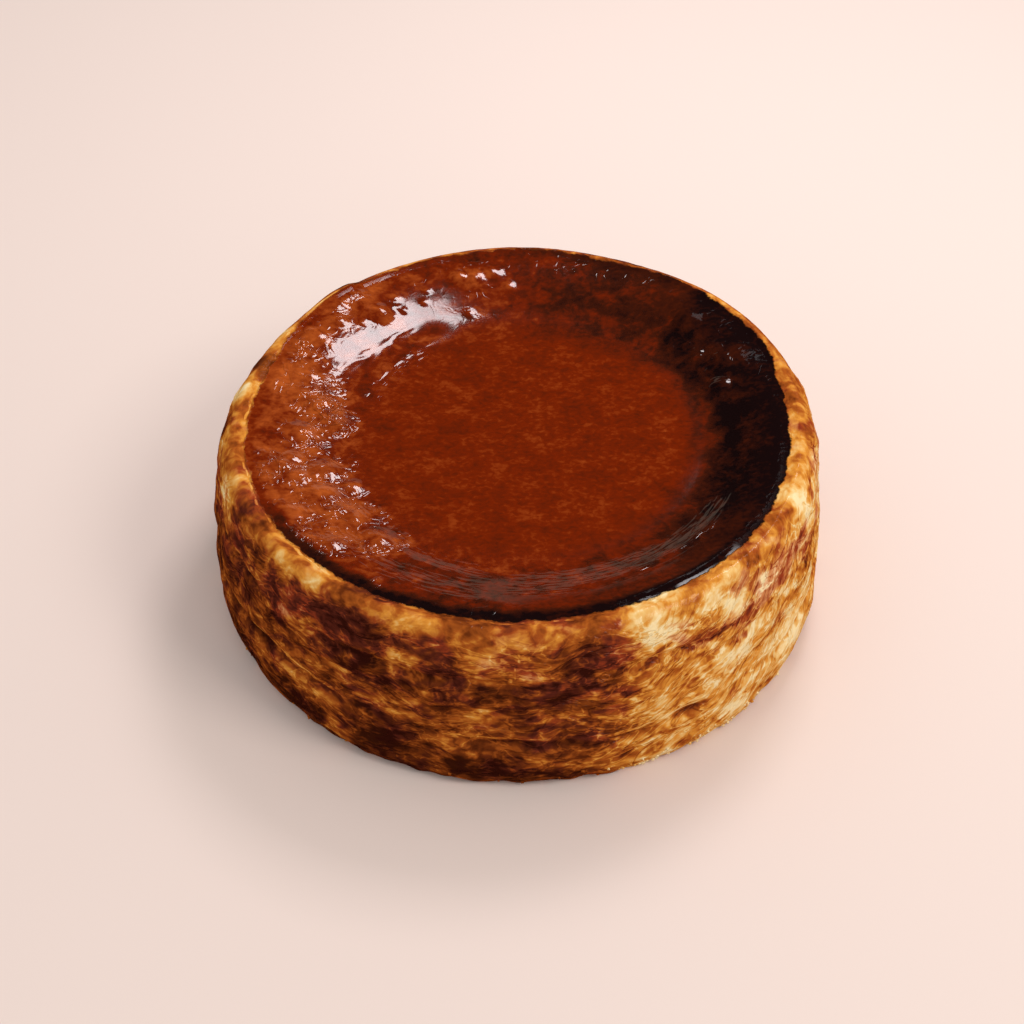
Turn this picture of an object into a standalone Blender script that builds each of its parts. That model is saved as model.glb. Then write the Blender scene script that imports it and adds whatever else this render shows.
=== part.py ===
"""Basque burnt cheesecake: one whole round cake, baked in crumpled paper, with a sunken top.

The cake is one solid. A half section is turned round the upright axis, and the turned form then
gets what the oven and the paper gave it: an outline that isn't quite round, a rim of uneven
height, paper folds and creases round the side, blisters on the left of the top and a wavy floor.

Metres, +Z up. The origin is the middle of the flat base, and the front of the cake faces -Y.
"""

import math
import random

import bmesh
import bpy
from mathutils import Vector, noise

MM = 0.001

# Half section
FOOT_RADIUS = 99.3 * MM  # where the flat base ends
FOOT_ROUND = 1.6 * MM  # small round between the base and the side
BELLY = 0.9 * MM  # how far the side swells between foot and shoulder
SHOULDER_HEIGHT = 32.0 * MM  # the side starts to lean inwards here
CREST_RADIUS = 92.0 * MM  # highest ring of the rim
CREST_HEIGHT = 62.2 * MM
SKIN_RADIUS = 88.8 * MM  # the dark skin ends here, just inside the crest
LIP = 0.8 * MM  # crest down to the skin's edge
FLOOR_RADIUS = 56.0 * MM  # the sunken middle of the top
SINK = 6.5 * MM  # skin's edge down to the floor's edge
DISH = 0.7 * MM  # floor's edge down to its middle
FLOOR_SHIFT = Vector((4.0 * MM, -1.0 * MM))  # the sunken middle sits off the axis

# Fineness of the turned solid
SEGMENTS = 136
FOOT_RINGS = 2
SIDE_RINGS = 15
SHOULDER_RINGS = 8
SLOPE_RINGS = 11
FLOOR_RINGS = 5

# Outline: waves round the cake, each (waves in a turn, share of the radius, azimuth of a peak)
OUTLINE_WAVES = (
    (2, 0.0049, math.radians(89)),
    (3, 0.0038, math.radians(-46)),
    (4, 0.0018, math.radians(29)),
    (5, 0.0028, math.radians(-36)),
)
# Rim height: the same, with metres for the share
RIM_WAVES = (
    (1, 1.4 * MM, math.radians(50)),
    (3, 0.4 * MM, math.radians(10)),
    (7, 0.3 * MM, math.radians(140)),
)

# Paper marks on the side
FOLD_DEPTH = 1.0 * MM
FOLD_SPACING = 14.0 * MM
FOLD_STRETCH = 0.45  # folds run this much slower up the side than round it
WRINKLE_DEPTH = 0.7 * MM
WRINKLE_SPACING = 9.0 * MM  # from one level wrinkle to the next
WRINKLE_STRETCH = 0.22  # wrinkles run this much slower round the side than up it
CREASE_DEPTH = 1.7 * MM
CREASE_WIDTH = 1.7 * MM
CREASE_BREAK = 26.0 * MM  # a crease fades out and comes back over about this length
CREASE_WOBBLE = 2.6 * MM  # how far its line strays up and down
WOBBLE_SPACING = 24.0 * MM
# Each crease: waves in a turn, height, how far it climbs and falls, azimuth where it is highest
CREASES = (
    (2, 21.8 * MM, 3.0 * MM, math.radians(-150)),
    (1, 37.0 * MM, 2.5 * MM, math.radians(-20)),
    (1, 47.5 * MM, 2.0 * MM, math.radians(75)),
)
LEDGE = 0.8 * MM  # the side stands out this far below the lowest crease
LEDGE_BAND = 3.0 * MM
FOOT_RAGGED = 1.3 * MM
FOOT_BAND = 5.0 * MM
RAGGED_SPACING = 6.0 * MM
CREST_BAND = 6.0 * MM  # paper marks fade out this far below the crest

# Blisters of the top, as raised domes. Each field of them: how many, two azimuths, two rings
BLISTER_SEED = 7
BLISTER_FIELDS = (
    (3, math.radians(96), math.radians(112), 79.0 * MM, 84.0 * MM),
    (5, math.radians(124), math.radians(160), 77.0 * MM, 84.0 * MM),
    (16, math.radians(162), math.radians(236), 60.0 * MM, 83.0 * MM),
    (6, math.radians(12), math.radians(46), 66.0 * MM, 82.0 * MM),
)
BLISTER_RADIUS = (4.5 * MM, 8.5 * MM)
BLISTER_HEIGHT = (0.8 * MM, 1.6 * MM)
TOP_WAVE = 0.5 * MM
FLOOR_WAVE = 0.2 * MM  # the same, on the floor
TOP_WAVE_SPACING = 19.0 * MM
# Low ridges where the sinking floor pulled the skin: radius, two azimuths, height, width
RIDGES = (
    (60.0 * MM, math.radians(110), math.radians(166), 0.5 * MM, 2.0 * MM),
    (68.0 * MM, math.radians(200), math.radians(256), 0.7 * MM, 2.2 * MM),
    (72.0 * MM, math.radians(276), math.radians(330), 0.8 * MM, 2.2 * MM),
    (85.5 * MM, math.radians(286), math.radians(316), 0.6 * MM, 1.6 * MM),
)
RIDGE_FADE = math.radians(9)

CARAMEL = (0.21, 0.055, 0.012, 1.0)
CARAMEL_ROUGHNESS = 0.35


def ease(low, high, value):
    """0 below low, 1 above high and a smooth step in between."""
    share = min(1.0, max(0.0, (value - low) / (high - low)))
    return share * share * (3.0 - 2.0 * share)


def side_radius(height):
    """Radius of the upright part of the side, which swells a little in the middle."""
    share = height / SHOULDER_HEIGHT
    return FOOT_RADIUS + FOOT_ROUND + BELLY * math.sin(math.pi * share)


def foot_points():
    """Flat base out to the small round that turns up into the side."""
    points = [(0.0, 0.0), (FOOT_RADIUS, 0.0)]
    for step in range(1, FOOT_RINGS + 1):
        turn = math.radians(90) * step / FOOT_RINGS
        radius = FOOT_RADIUS + FOOT_ROUND * math.sin(turn)
        points.append((radius, FOOT_ROUND * (1.0 - math.cos(turn))))
    return points


def side_points():
    """Up the side, as far as the shoulder."""
    rise = SHOULDER_HEIGHT - FOOT_ROUND
    heights = [FOOT_ROUND + rise * step / SIDE_RINGS for step in range(1, SIDE_RINGS + 1)]
    return [(side_radius(height), height) for height in heights]


def shoulder_points():
    """A quarter of an ellipse from the top of the side to the crest of the rim."""
    across = side_radius(SHOULDER_HEIGHT) - CREST_RADIUS
    up = CREST_HEIGHT - SHOULDER_HEIGHT
    points = []
    for step in range(1, SHOULDER_RINGS + 1):
        turn = math.radians(90) * step / SHOULDER_RINGS
        radius = CREST_RADIUS + across * math.cos(turn)
        points.append((radius, SHOULDER_HEIGHT + up * math.sin(turn)))
    return points


def top_height(radius):
    """Height of the top inside the crest: a small lip, a slope and a floor that dishes slightly."""
    lip = LIP * (1.0 - ease(SKIN_RADIUS, CREST_RADIUS, radius))
    slope = SINK * (1.0 - ease(FLOOR_RADIUS, SKIN_RADIUS, radius))
    dish = DISH * (1.0 - min(1.0, radius / FLOOR_RADIUS) ** 2)
    return CREST_HEIGHT - lip - slope - dish


def top_points():
    """From the crest inwards to the axis."""
    slope_run = SKIN_RADIUS - FLOOR_RADIUS
    radii = [(CREST_RADIUS + SKIN_RADIUS) / 2.0, SKIN_RADIUS]
    radii += [SKIN_RADIUS - slope_run * step / SLOPE_RINGS for step in range(1, SLOPE_RINGS + 1)]
    radii += [FLOOR_RADIUS * (1.0 - step / FLOOR_RINGS) for step in range(1, FLOOR_RINGS + 1)]
    return [(radius, top_height(radius)) for radius in radii]


def turned_form():
    """The half section spun round the axis, as a closed bmesh."""
    section = foot_points() + side_points() + shoulder_points() + top_points()
    form = bmesh.new()
    corners = [form.verts.new((radius, 0.0, height)) for radius, height in section]
    edges = [form.edges.new(pair) for pair in zip(corners, corners[1:])]
    bmesh.ops.spin(
        form,
        geom=corners + edges,
        cent=(0.0, 0.0, 0.0),
        axis=(0.0, 0.0, 1.0),
        angle=math.tau,
        steps=SEGMENTS,
        use_merge=True,
    )
    bmesh.ops.remove_doubles(form, verts=form.verts, dist=1e-6)
    bmesh.ops.recalc_face_normals(form, faces=form.faces)
    return form


def waves(table, azimuth):
    return sum(size * math.cos(count * (azimuth - peak)) for count, size, peak in table)


def grain(place):
    """Smooth noise from about -1 to 1, the same on every run."""
    return noise.noise(place, noise_basis="PERLIN_ORIGINAL")


def paper(point):
    """What the crumpled paper pressed into the side: soft upright folds and level wrinkles."""
    upright = Vector((point.x, point.y, point.z * FOLD_STRETCH)) / FOLD_SPACING
    level = Vector((point.x * WRINKLE_STRETCH, point.y * WRINKLE_STRETCH, point.z)) / WRINKLE_SPACING
    return FOLD_DEPTH * grain(upright) + WRINKLE_DEPTH * grain(level)


def crease_line(crease, azimuth):
    """Height of a crease at this azimuth."""
    count, level, climb, peak = crease
    along = FOOT_RADIUS * Vector((math.cos(azimuth), math.sin(azimuth), 0.0))
    wobble = grain((along + Vector((0.0, 0.0, level))) / WOBBLE_SPACING)
    return level + climb * math.cos(count * (azimuth - peak)) + CREASE_WOBBLE * wobble


def creases(point, azimuth):
    """How deep the creases bite at this place on the side. Each one comes and goes."""
    depth = 0.0
    for number, crease in enumerate(CREASES):
        away = (point.z - crease_line(crease, azimuth)) / CREASE_WIDTH
        here = Vector((point.x, point.y, number * FOOT_RADIUS)) / CREASE_BREAK
        strength = ease(-0.35, 0.35, grain(here))
        depth += CREASE_DEPTH * strength * math.exp(-away * away)
    return depth


def ledge(azimuth, height):
    """The side stands out below the lowest crease and comes back to nothing at the foot."""
    line = crease_line(CREASES[0], azimuth)
    below = 1.0 - ease(line - LEDGE_BAND, line, height)
    return LEDGE * below * ease(0.0, FOOT_BAND, height)


def side_relief(point, azimuth):
    """How far the paper moved the side outwards."""
    marked = 1.0 - ease(CREST_HEIGHT - CREST_BAND, CREST_HEIGHT, point.z)
    marks = paper(point) + ledge(azimuth, point.z) - creases(point, azimuth)
    foot = FOOT_RAGGED * grain(point / RAGGED_SPACING) * (1.0 - ease(0.0, FOOT_BAND, point.z))
    return marked * ease(0.0, FOOT_BAND, point.z) * marks + foot


def blisters():
    """(middle, radius, height) of each blister, scattered over its field."""
    draw = random.Random(BLISTER_SEED)
    found = []
    for count, start, end, inner, outer in BLISTER_FIELDS:
        for _ in range(count):
            azimuth, ring = draw.uniform(start, end), draw.uniform(inner, outer)
            middle = Vector((ring * math.cos(azimuth), ring * math.sin(azimuth)))
            found.append((middle, draw.uniform(*BLISTER_RADIUS), draw.uniform(*BLISTER_HEIGHT)))
    return found


def between(start, end, azimuth, fade):
    """1 between two azimuths and 0 outside them, with a smooth step at each."""
    off = abs((azimuth - (start + end) / 2.0 + math.pi) % math.tau - math.pi)
    half = (end - start) / 2.0
    return 1.0 - ease(half - fade, half, off)


def ridges(azimuth, radius):
    """Height of the skin's low ridges here."""
    height = 0.0
    for ring, start, end, rise, width in RIDGES:
        away = (radius - ring) / width
        height += rise * between(start, end, azimuth, RIDGE_FADE) * math.exp(-away * away)
    return height


def top_relief(point, azimuth, domes):
    """How far the oven raised or lowered the top here."""
    size = FLOOR_WAVE + (TOP_WAVE - FLOOR_WAVE) * ease(FLOOR_RADIUS, SKIN_RADIUS, point.xy.length)
    lift = size * grain(Vector((point.x, point.y, 0.0)) / TOP_WAVE_SPACING)
    for middle, radius, height in domes:
        share = (point.xy - middle).length / radius
        if share < 1.0:
            lift = max(lift, height * (1.0 - share * share) ** 2)
    return lift + ridges(azimuth, point.xy.length)


def baked_place(point, domes):
    """Where the oven and the paper left one point of the turned form."""
    radius = point.xy.length
    azimuth = math.atan2(point.y, point.x)
    outward = Vector((math.cos(azimuth), math.sin(azimuth), 0.0))
    moved = point + outward * radius * waves(OUTLINE_WAVES, azimuth)
    if radius <= CREST_RADIUS and point.z > SHOULDER_HEIGHT:
        risen = ease(FLOOR_RADIUS, SKIN_RADIUS, radius)
        moved += (1.0 - risen) * FLOOR_SHIFT.to_3d()
        moved.z += top_relief(point, azimuth, domes)
    else:
        risen = ease(SHOULDER_HEIGHT, CREST_HEIGHT, point.z)
        moved += outward * side_relief(point, azimuth)
    moved.z += risen * waves(RIM_WAVES, azimuth)
    return moved


def bake(form):
    """Moves every point of the turned form to its baked place."""
    domes = blisters()
    for corner in form.verts:
        corner.co = baked_place(corner.co.copy(), domes)


def caramel():
    """Baked custard, browned all over."""
    material = bpy.data.materials.new("baked custard")
    material.use_nodes = True
    shader = material.node_tree.nodes["Principled BSDF"]
    shader.inputs["Base Color"].default_value = CARAMEL
    shader.inputs["Roughness"].default_value = CARAMEL_ROUGHNESS
    return material


def cheesecake():
    form = turned_form()
    bake(form)
    mesh = bpy.data.meshes.new("cheesecake")
    form.to_mesh(mesh)
    form.free()
    mesh.materials.append(caramel())
    mesh.shade_smooth()
    mesh.set_sharp_from_angle(angle=math.radians(60))
    cake = bpy.data.objects.new("cheesecake", mesh)
    bpy.context.scene.collection.objects.link(cake)
    return cake


def main():
    for leftover in list(bpy.data.objects):
        bpy.data.objects.remove(leftover)
    cheesecake()


main()
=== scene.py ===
"""Basque burnt cheesecake: the looks of one whole cake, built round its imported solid.

The cake is one closed piece. A half section is drawn and spun, then shaped by the same waves,
folds, creases and blisters as the solid, with the fine crinkles that the solid leaves out.

Metres, +Z up. The origin is the middle of the flat base, and the front of the cake faces -Y.
"""

import math
import random

import bpy
import numpy as np
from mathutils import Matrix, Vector, noise


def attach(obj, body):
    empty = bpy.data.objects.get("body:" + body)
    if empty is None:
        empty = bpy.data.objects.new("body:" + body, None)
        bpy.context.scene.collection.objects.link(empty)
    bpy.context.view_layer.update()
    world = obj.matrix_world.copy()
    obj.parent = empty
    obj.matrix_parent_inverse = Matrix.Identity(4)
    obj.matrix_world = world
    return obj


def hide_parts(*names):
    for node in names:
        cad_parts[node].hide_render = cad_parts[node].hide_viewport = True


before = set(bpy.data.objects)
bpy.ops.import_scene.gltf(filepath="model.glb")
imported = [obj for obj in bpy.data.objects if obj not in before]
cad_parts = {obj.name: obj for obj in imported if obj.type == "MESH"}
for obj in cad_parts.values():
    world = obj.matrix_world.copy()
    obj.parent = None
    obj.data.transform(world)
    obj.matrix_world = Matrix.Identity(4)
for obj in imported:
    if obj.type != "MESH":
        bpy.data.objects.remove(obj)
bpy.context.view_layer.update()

bl_info = {
    "name": "Basque Burnt Cheesecake",
    "version": (1, 0, 0),
    "blender": (4, 5, 0),
    "location": "View3D > Sidebar > Cheesecake",
    "description": "Builds a whole burnt cheesecake with a caramelised top and paper-creased sides",
    "category": "Add Mesh",
}

MM = 0.001
DEG = math.radians(1)
NODE = "cheesecake"
BODY = "root"


def measured(units, rows):
    """The rows of a table, with each column's numbers in its unit."""
    return tuple(tuple(unit * size for unit, size in zip(units, row)) for row in rows)


# Half section, as in the solid
FOOT_ROUND = 1.6 * MM
BELLY = 0.9 * MM
LIP = 0.8 * MM
DISH = 0.7 * MM
FLOOR_SHIFT = Vector((4 * MM, -1 * MM, 0.0))

# Fineness of the piece
SEGMENTS = 540
SIDE_STEP = 0.85 * MM
RING_STEP = 0.65 * MM
FLOOR_STEP = 2 * MM
FOOT_RINGS = 3
WELD = 0.02 * MM

# Outline: waves round the cake. Waves in a turn, share of the radius, azimuth of a peak
OUTLINE_WAVES = measured((1, 1, DEG), (
    (2, 0.0049, 89), (3, 0.0038, -46), (4, 0.0018, 29), (5, 0.0028, -36),
))
# Rim: the same, with a height for the share
RIM_WAVES = measured((1, MM, DEG), ((1, 1.4, 50), (3, 0.4, 10), (7, 0.3, 140)))
# One lump of the rim, which ends in a step: azimuths of its step, its top and its foot
RIM_LUMP = (126.5 * DEG, 130 * DEG, 133 * DEG, 143 * DEG)
LUMP_HEIGHT = 1.4 * MM
LUMP_REACH = 6 * MM

# Paper marks on the side
FOLD_SPACING = 14 * MM
FOLD_STRETCH = 0.45
WRINKLE_SPACING = 9 * MM
WRINKLE_STRETCH = 0.22
CREASE_WIDTH = 1.7 * MM
CREASE_BREAK = 26 * MM
CREASE_GAPS = (-0.35, 0.35)  # a crease fades in between these values of its grain
CREASE_WOBBLE = 2.6 * MM
WOBBLE_SPACING = 24 * MM
# Long creases: waves in a turn, height, how far it climbs, azimuth of a peak
CREASES = measured((1, MM, MM, DEG), (
    (2, 21.8, 3.0, -150), (1, 37.0, 2.5, -20), (1, 47.5, 2.0, 75),
))
LEDGE = 0.8 * MM
LEDGE_BAND = 3 * MM
FOOT_RAGGED = 1.3 * MM
FOOT_BAND = 5 * MM
RAGGED_SPACING = 6 * MM
CREST_BAND = 6 * MM
CREST_CALM = 0.6  # how much weaker the fine marks are at the crest

# Blisters of the top. Each field of them: how many, two azimuths, two rings
BLISTER_SEED = 7
BLISTER_FIELDS = measured((1, DEG, DEG, MM, MM), (
    (3, 96, 112, 79, 84), (5, 124, 160, 77, 84), (16, 162, 236, 60, 83), (6, 12, 46, 66, 82),
))
BLISTER_RADIUS = (4.5 * MM, 8.5 * MM)
BLISTER_HEIGHT = (0.8 * MM, 1.6 * MM)
# Small blisters between the large ones, in the same form
BUBBLE_SEED = 12
BUBBLE_FIELDS = measured((1, DEG, DEG, MM, MM), (
    (12, 160, 240, 58, 85), (9, 122, 158, 72, 82), (6, 92, 122, 66, 80), (12, 14, 44, 64, 76),
))
BUBBLE_RADIUS = (1.6 * MM, 3.4 * MM)
BUBBLE_HEIGHT = (0.15 * MM, 0.45 * MM)
# A dome's pinched edge, in shares of its radius: where it is, and how wide
DOME_EDGE = 0.9
DOME_EDGE_WIDTH = 0.25
DOME_REACH = 1.5
TOP_WAVE = 0.5 * MM
FLOOR_WAVE = 0.2 * MM
TOP_WAVE_SPACING = 19 * MM
# Low ridges where the sinking floor pulled the skin: radius, two azimuths, height, width
RIDGES = measured((MM, DEG, DEG, MM, MM), (
    (61, 112, 166, 0.5, 4), (68, 200, 256, 0.5, 2.2),
    (72, 276, 330, 0.35, 2.2), (85.8, 288, 322, 0.6, 1.1),
))
RIDGE_FADE = 9 * DEG

# Fine relief that the solid leaves out
CRUMPLE_DEPTH = 0.6 * MM
CRUMPLE_SHARP = 2.4
CRUMPLES = ((6.5 * MM, 0.5), (2.9 * MM, 0.5))
CRUMPLE_STRETCH = 0.38
SWIRL = 42 * MM  # how far the paper was pulled upwards round the right of the side
SWIRL_STARTS = (285 * DEG, 345 * DEG)
SWIRL_ENDS = (15 * DEG, 150 * DEG)
WANDER = 4.5 * MM
WANDER_SPACING = 17 * MM
# Short creases: azimuth and height of both ends, and strength: above 0 for a ridge with a painted
# highlight and below 0 for a furrow with painted shade
SHORT_CREASES = measured((DEG, MM, DEG, MM, 1), (
    (-98, 42.5, -84, 45.5, -1), (-92, 46, -91, 56, 0.55), (-83, 48, -74, 49.5, -0.9),
    (-62, 45, -47, 47.5, -0.8), (-63, 52, -55, 56, 0.6), (-126, 43.5, -117, 45, -0.8),
    (-147, 50, -139, 46.5, 0.6), (-46, 50, -34, 54, 0.6), (-45, 28, -36, 31, -0.8),
))
SHORT_WIDTH = 0.9 * MM
SHORT_DEPTH = 0.45 * MM
SHORT_WAVE = 2.6 * MM
SHORT_SPACING = 5 * MM
MARK_REACH = 3.0  # how many widths away a mark has faded out
CRINKLE_DEPTH = 0.12 * MM
CRINKLE_MEAN = 0.4
CRINKLE_ACROSS = 1.9 * MM
CRINKLE_ALONG = 4 * MM
CLUSTER_SPACING = 15 * MM
SMOOTH_POOL = Vector((-44 * MM, 46 * MM))  # a calm patch of the ring, where a window mirrors
POOL_RADIUS = 27 * MM
POOL_CALM = 0.08
EDGE_RAGGED = 0.8 * MM
EDGE_SPACING = 5 * MM
# Bands of fine pleats that run round the top: two rings, two azimuths, strength
BAND_UNITS = (MM, MM, DEG, DEG, 1)
PLEATS = measured(BAND_UNITS, (
    (52, 60, 122, 168, 0.6), (60, 82, 190, 262, 0.7), (64, 75, 262, 336, 0.9), (83, 90, 284, 322, 1.2),
))
# Broader drapes, where the window mirrors
DRAPES = measured(BAND_UNITS, ((54, 62, 120, 180, 0.8), (58, 80, 120, 172, 0.5)))
# Where the edge of the skin isn't charred and dull
SHEENS = measured(BAND_UNITS, ((88, 90, 288, 322, 1.0),))
BAND_FADE = 3 * MM
# How far the skin reaches out over the crest, and in which sector
SKIN_OVERS = ((2.2 * MM, "back"), (0.8 * MM, "far back"), (2.6 * MM, "right back"))

# Sectors of the cake, in degrees: two azimuths, and how far each end fades
SECTORS = {
    "back": (40, 168, 24),
    "far back": (64, 160, 20),
    "right back": (8, 64, 14),
    "amber top": (140, 244, 30),
    "orange top": (108, 176, 18),
    "dark front": (232, 345, 22),
    "dark right": (-82, 104, 40),
    "black edge": (196, 410, 22),
    "dull edge": (-98, 62, 12),
    "pinched left": (118, 250, 14),
    "pinched back": (92, 118, 16),
    "pinched right": (-60, 50, 24),
    "pale side": (-78, 60, 13),
    "woven side": (-84, 150, 12),
    "rosy side": (-60, 20, 8),
    "calm rim": (-76, 60, 10),
}

# The far side is creased and browned by the same rules, at random
BACK_SEED = 5
BACK_CREASES = 8
BACK_PATCHES = 26

# Crumbs at the foot: two azimuths and how many; their heights; their size against the first one
CRUMB_SEED = 3
CRUMB_FIELDS = measured((DEG, DEG, 1), ((-80, -42, 44), (-180, -80, 14), (-42, 180, 30)))
CRUMB_BAND = (1.6 * MM, 7 * MM)
CRUMB_RADIUS = 0.5 * MM
CRUMB_ROUGH = 0.2 * MM
CRUMB_SIZE = (0.5, 1.3)
CRUMB_PALER = 0.22

CAMERA_PLACE = Vector((-3.5 * MM, -446 * MM, 445.8 * MM))
CAMERA_TURN = (46.31 * DEG, 0.44 * DEG, -0.55 * DEG)
CAMERA_LENS = 63.3


def linear(code):
    """An sRGB hex colour as the linear RGB that Blender's shaders take."""
    shares = [int(code[at : at + 2], 16) / 255.0 for at in (1, 3, 5)]
    return tuple(s / 12.92 if s <= 0.04045 else ((s + 0.055) / 1.055) ** 2.4 for s in shares)


def amount(name, description, default, least=0.0, unit="LENGTH"):
    """A size or strength that the user can change."""
    return bpy.props.FloatProperty(
        name=name, description=description, default=default, min=least, unit=unit
    )


def shade(name, description, code):
    """A colour that the user can change."""
    return bpy.props.FloatVectorProperty(
        name=name, description=description, subtype="COLOR", default=linear(code), min=0.0, max=1.0
    )


class CakeForm(bpy.types.PropertyGroup):
    """Sizes of the cake."""

    foot_radius: amount("Foot radius", "Where the flat base ends", 99.3 * MM, 0.02)
    shoulder_height: amount("Shoulder height", "Where the side starts to lean inwards", 32 * MM, 0.005)
    crest_radius: amount("Crest radius", "Radius of the highest ring of the rim", 92 * MM, 0.02)
    crest_height: amount("Crest height", "Height of the rim above the base", 62.2 * MM, 0.01)
    skin_radius: amount("Skin radius", "Where the dark skin of the top ends", 88.8 * MM, 0.02)
    floor_radius: amount("Floor radius", "Radius of the sunken middle of the top", 56 * MM, 0.01)
    sink: amount("Sink", "How far the middle of the top has sunk", 6.5 * MM)
    fold_depth: amount("Fold depth", "Depth of the soft upright folds in the side", 1 * MM)
    wrinkle_depth: amount("Wrinkle depth", "Depth of the level wrinkles in the side", 0.7 * MM)
    crease_depth: amount("Crease depth", "Depth of the paper's long creases round the side", 1.7 * MM)


class CakeColours(bpy.types.PropertyGroup):
    """Colours of the cake, from palest to most burnt."""

    cream: shade("Cream", "Side: pale custard that hardly browned", "#F5DCA8")
    straw: shade("Straw", "Side: custard that has just turned yellow", "#E8BA70")
    gold: shade("Gold", "Side: golden custard", "#D88E36")
    rust: shade("Rust", "Side: orange-brown custard", "#A6551D")
    brown: shade("Brown", "Side: custard that browned well", "#6E3211")
    umber: shade("Umber", "Side: the darkest blotches", "#3A1709")
    peach: shade("Peach", "Side: pale custard with a pink cast", "#E0AC80")
    tan: shade("Tan", "Side: light brown custard with a pink cast", "#CC8450")
    russet: shade("Russet", "Side: red-brown custard", "#963B1E")
    plum: shade("Plum", "Side: dark custard with a purple cast", "#5A2519")
    soot: shade("Soot", "Side: the darkest blotches, with a purple cast", "#33110A")
    amber: shade("Amber", "Top: the lightest, orange caramel", "#B4551F")
    caramel: shade("Caramel", "Top: red-brown caramel in the middle", "#6E1F05")
    treacle: shade("Treacle", "Top: dark brown caramel", "#3E1609")
    burnt: shade("Burnt", "Top: nearly black caramel", "#150909")


class CakeStage(bpy.types.PropertyGroup):
    """Floor, light and camera."""

    paper: shade("Paper", "Colour of the backdrop paper", "#EBD9D0")
    window_power: amount("Window light", "Power of the window behind the cake", 1.8, unit="POWER")
    key_power: amount("Key light", "Power of the soft light on the right", 7.0, unit="POWER")
    wall_power: amount("Wall light", "Power of the wall that the skin mirrors", 1.6, unit="POWER")
    room_light: amount("Room light", "Strength of the even light of the room", 0.70, unit="NONE")


def ease(low, high, value):
    """0 below low, 1 above high and a smooth step in between."""
    share = min(1.0, max(0.0, (value - low) / (high - low)))
    return share * share * (3.0 - 2.0 * share)


def waves(table, azimuth):
    return sum(size * math.cos(count * (azimuth - peak)) for count, size, peak in table)


def grain(place):
    """Smooth noise from about -1 to 1, the same on every run."""
    return noise.noise(place, noise_basis="PERLIN_ORIGINAL")


def hump(away, width):
    """1 where away is 0, and fading smoothly with distance over about a width."""
    share = away / width
    return math.exp(-share * share)


def at_least(low, share):
    """A share between 0 and 1, squeezed to between low and 1."""
    return low + (1.0 - low) * share


def outwards(azimuth):
    """The level direction that points out of the cake."""
    return Vector((math.cos(azimuth), math.sin(azimuth), 0.0))


def between(start, end, azimuth, fade):
    """1 between two azimuths and 0 outside them, with a smooth step at each."""
    off = abs((azimuth - (start + end) / 2.0 + math.pi) % math.tau - math.pi)
    half = (end - start) / 2.0
    return 1.0 - ease(half - fade, half, off)


def sector(name, azimuth):
    """1 inside a sector of the cake and 0 outside it."""
    start, end, fade = SECTORS[name]
    return between(start * DEG, end * DEG, azimuth, fade * DEG)


def steps(start, end, size):
    """Evenly spaced values from start to end, without start, at most size apart."""
    count = max(1, math.ceil(abs(end - start) / size))
    return [start + (end - start) * number / count for number in range(1, count + 1)]


class Section:
    """The half section of the turned cake, as (radius, height) points."""

    def __init__(self, form):
        self.form = form

    def side_radius(self, height):
        share = height / self.form.shoulder_height
        return self.form.foot_radius + FOOT_ROUND + BELLY * math.sin(math.pi * share)

    def foot(self):
        points = [(0.0, 0.0), (self.form.foot_radius, 0.0)]
        for step in range(1, FOOT_RINGS + 1):
            turn = 90 * DEG * step / FOOT_RINGS
            radius = self.form.foot_radius + FOOT_ROUND * math.sin(turn)
            points.append((radius, FOOT_ROUND * (1.0 - math.cos(turn))))
        return points

    def side(self):
        heights = steps(FOOT_ROUND, self.form.shoulder_height, SIDE_STEP)
        return [(self.side_radius(height), height) for height in heights]

    def shoulder(self):
        """A quarter of an ellipse from the top of the side to the crest of the rim."""
        form = self.form
        across = self.side_radius(form.shoulder_height) - form.crest_radius
        up = form.crest_height - form.shoulder_height
        turns = steps(0.0, 90 * DEG, 90 * DEG * SIDE_STEP / up)
        return [
            (form.crest_radius + across * math.cos(turn), form.shoulder_height + up * math.sin(turn))
            for turn in turns
        ]

    def top_height(self, radius):
        """A small lip inside the crest, a slope and a floor that dishes slightly."""
        form = self.form
        lip = LIP * (1.0 - ease(form.skin_radius, form.crest_radius, radius))
        slope = form.sink * (1.0 - ease(form.floor_radius, form.skin_radius, radius))
        dish = DISH * (1.0 - min(1.0, radius / form.floor_radius) ** 2)
        return form.crest_height - lip - slope - dish

    def top(self):
        form = self.form
        radii = steps(form.crest_radius, form.floor_radius, RING_STEP)
        radii += steps(form.floor_radius, 0.0, FLOOR_STEP)
        return [(radius, self.top_height(radius)) for radius in radii]

    def points(self):
        return self.foot() + self.side() + self.shoulder() + self.top()


def crease_line(crease, azimuth, reach):
    """Height of a crease at this azimuth."""
    count, level, climb, peak = crease
    along = reach * outwards(azimuth)
    wobble = grain((along + Vector((0.0, 0.0, level))) / WOBBLE_SPACING)
    return level + climb * math.cos(count * (azimuth - peak)) + CREASE_WOBBLE * wobble


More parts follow.
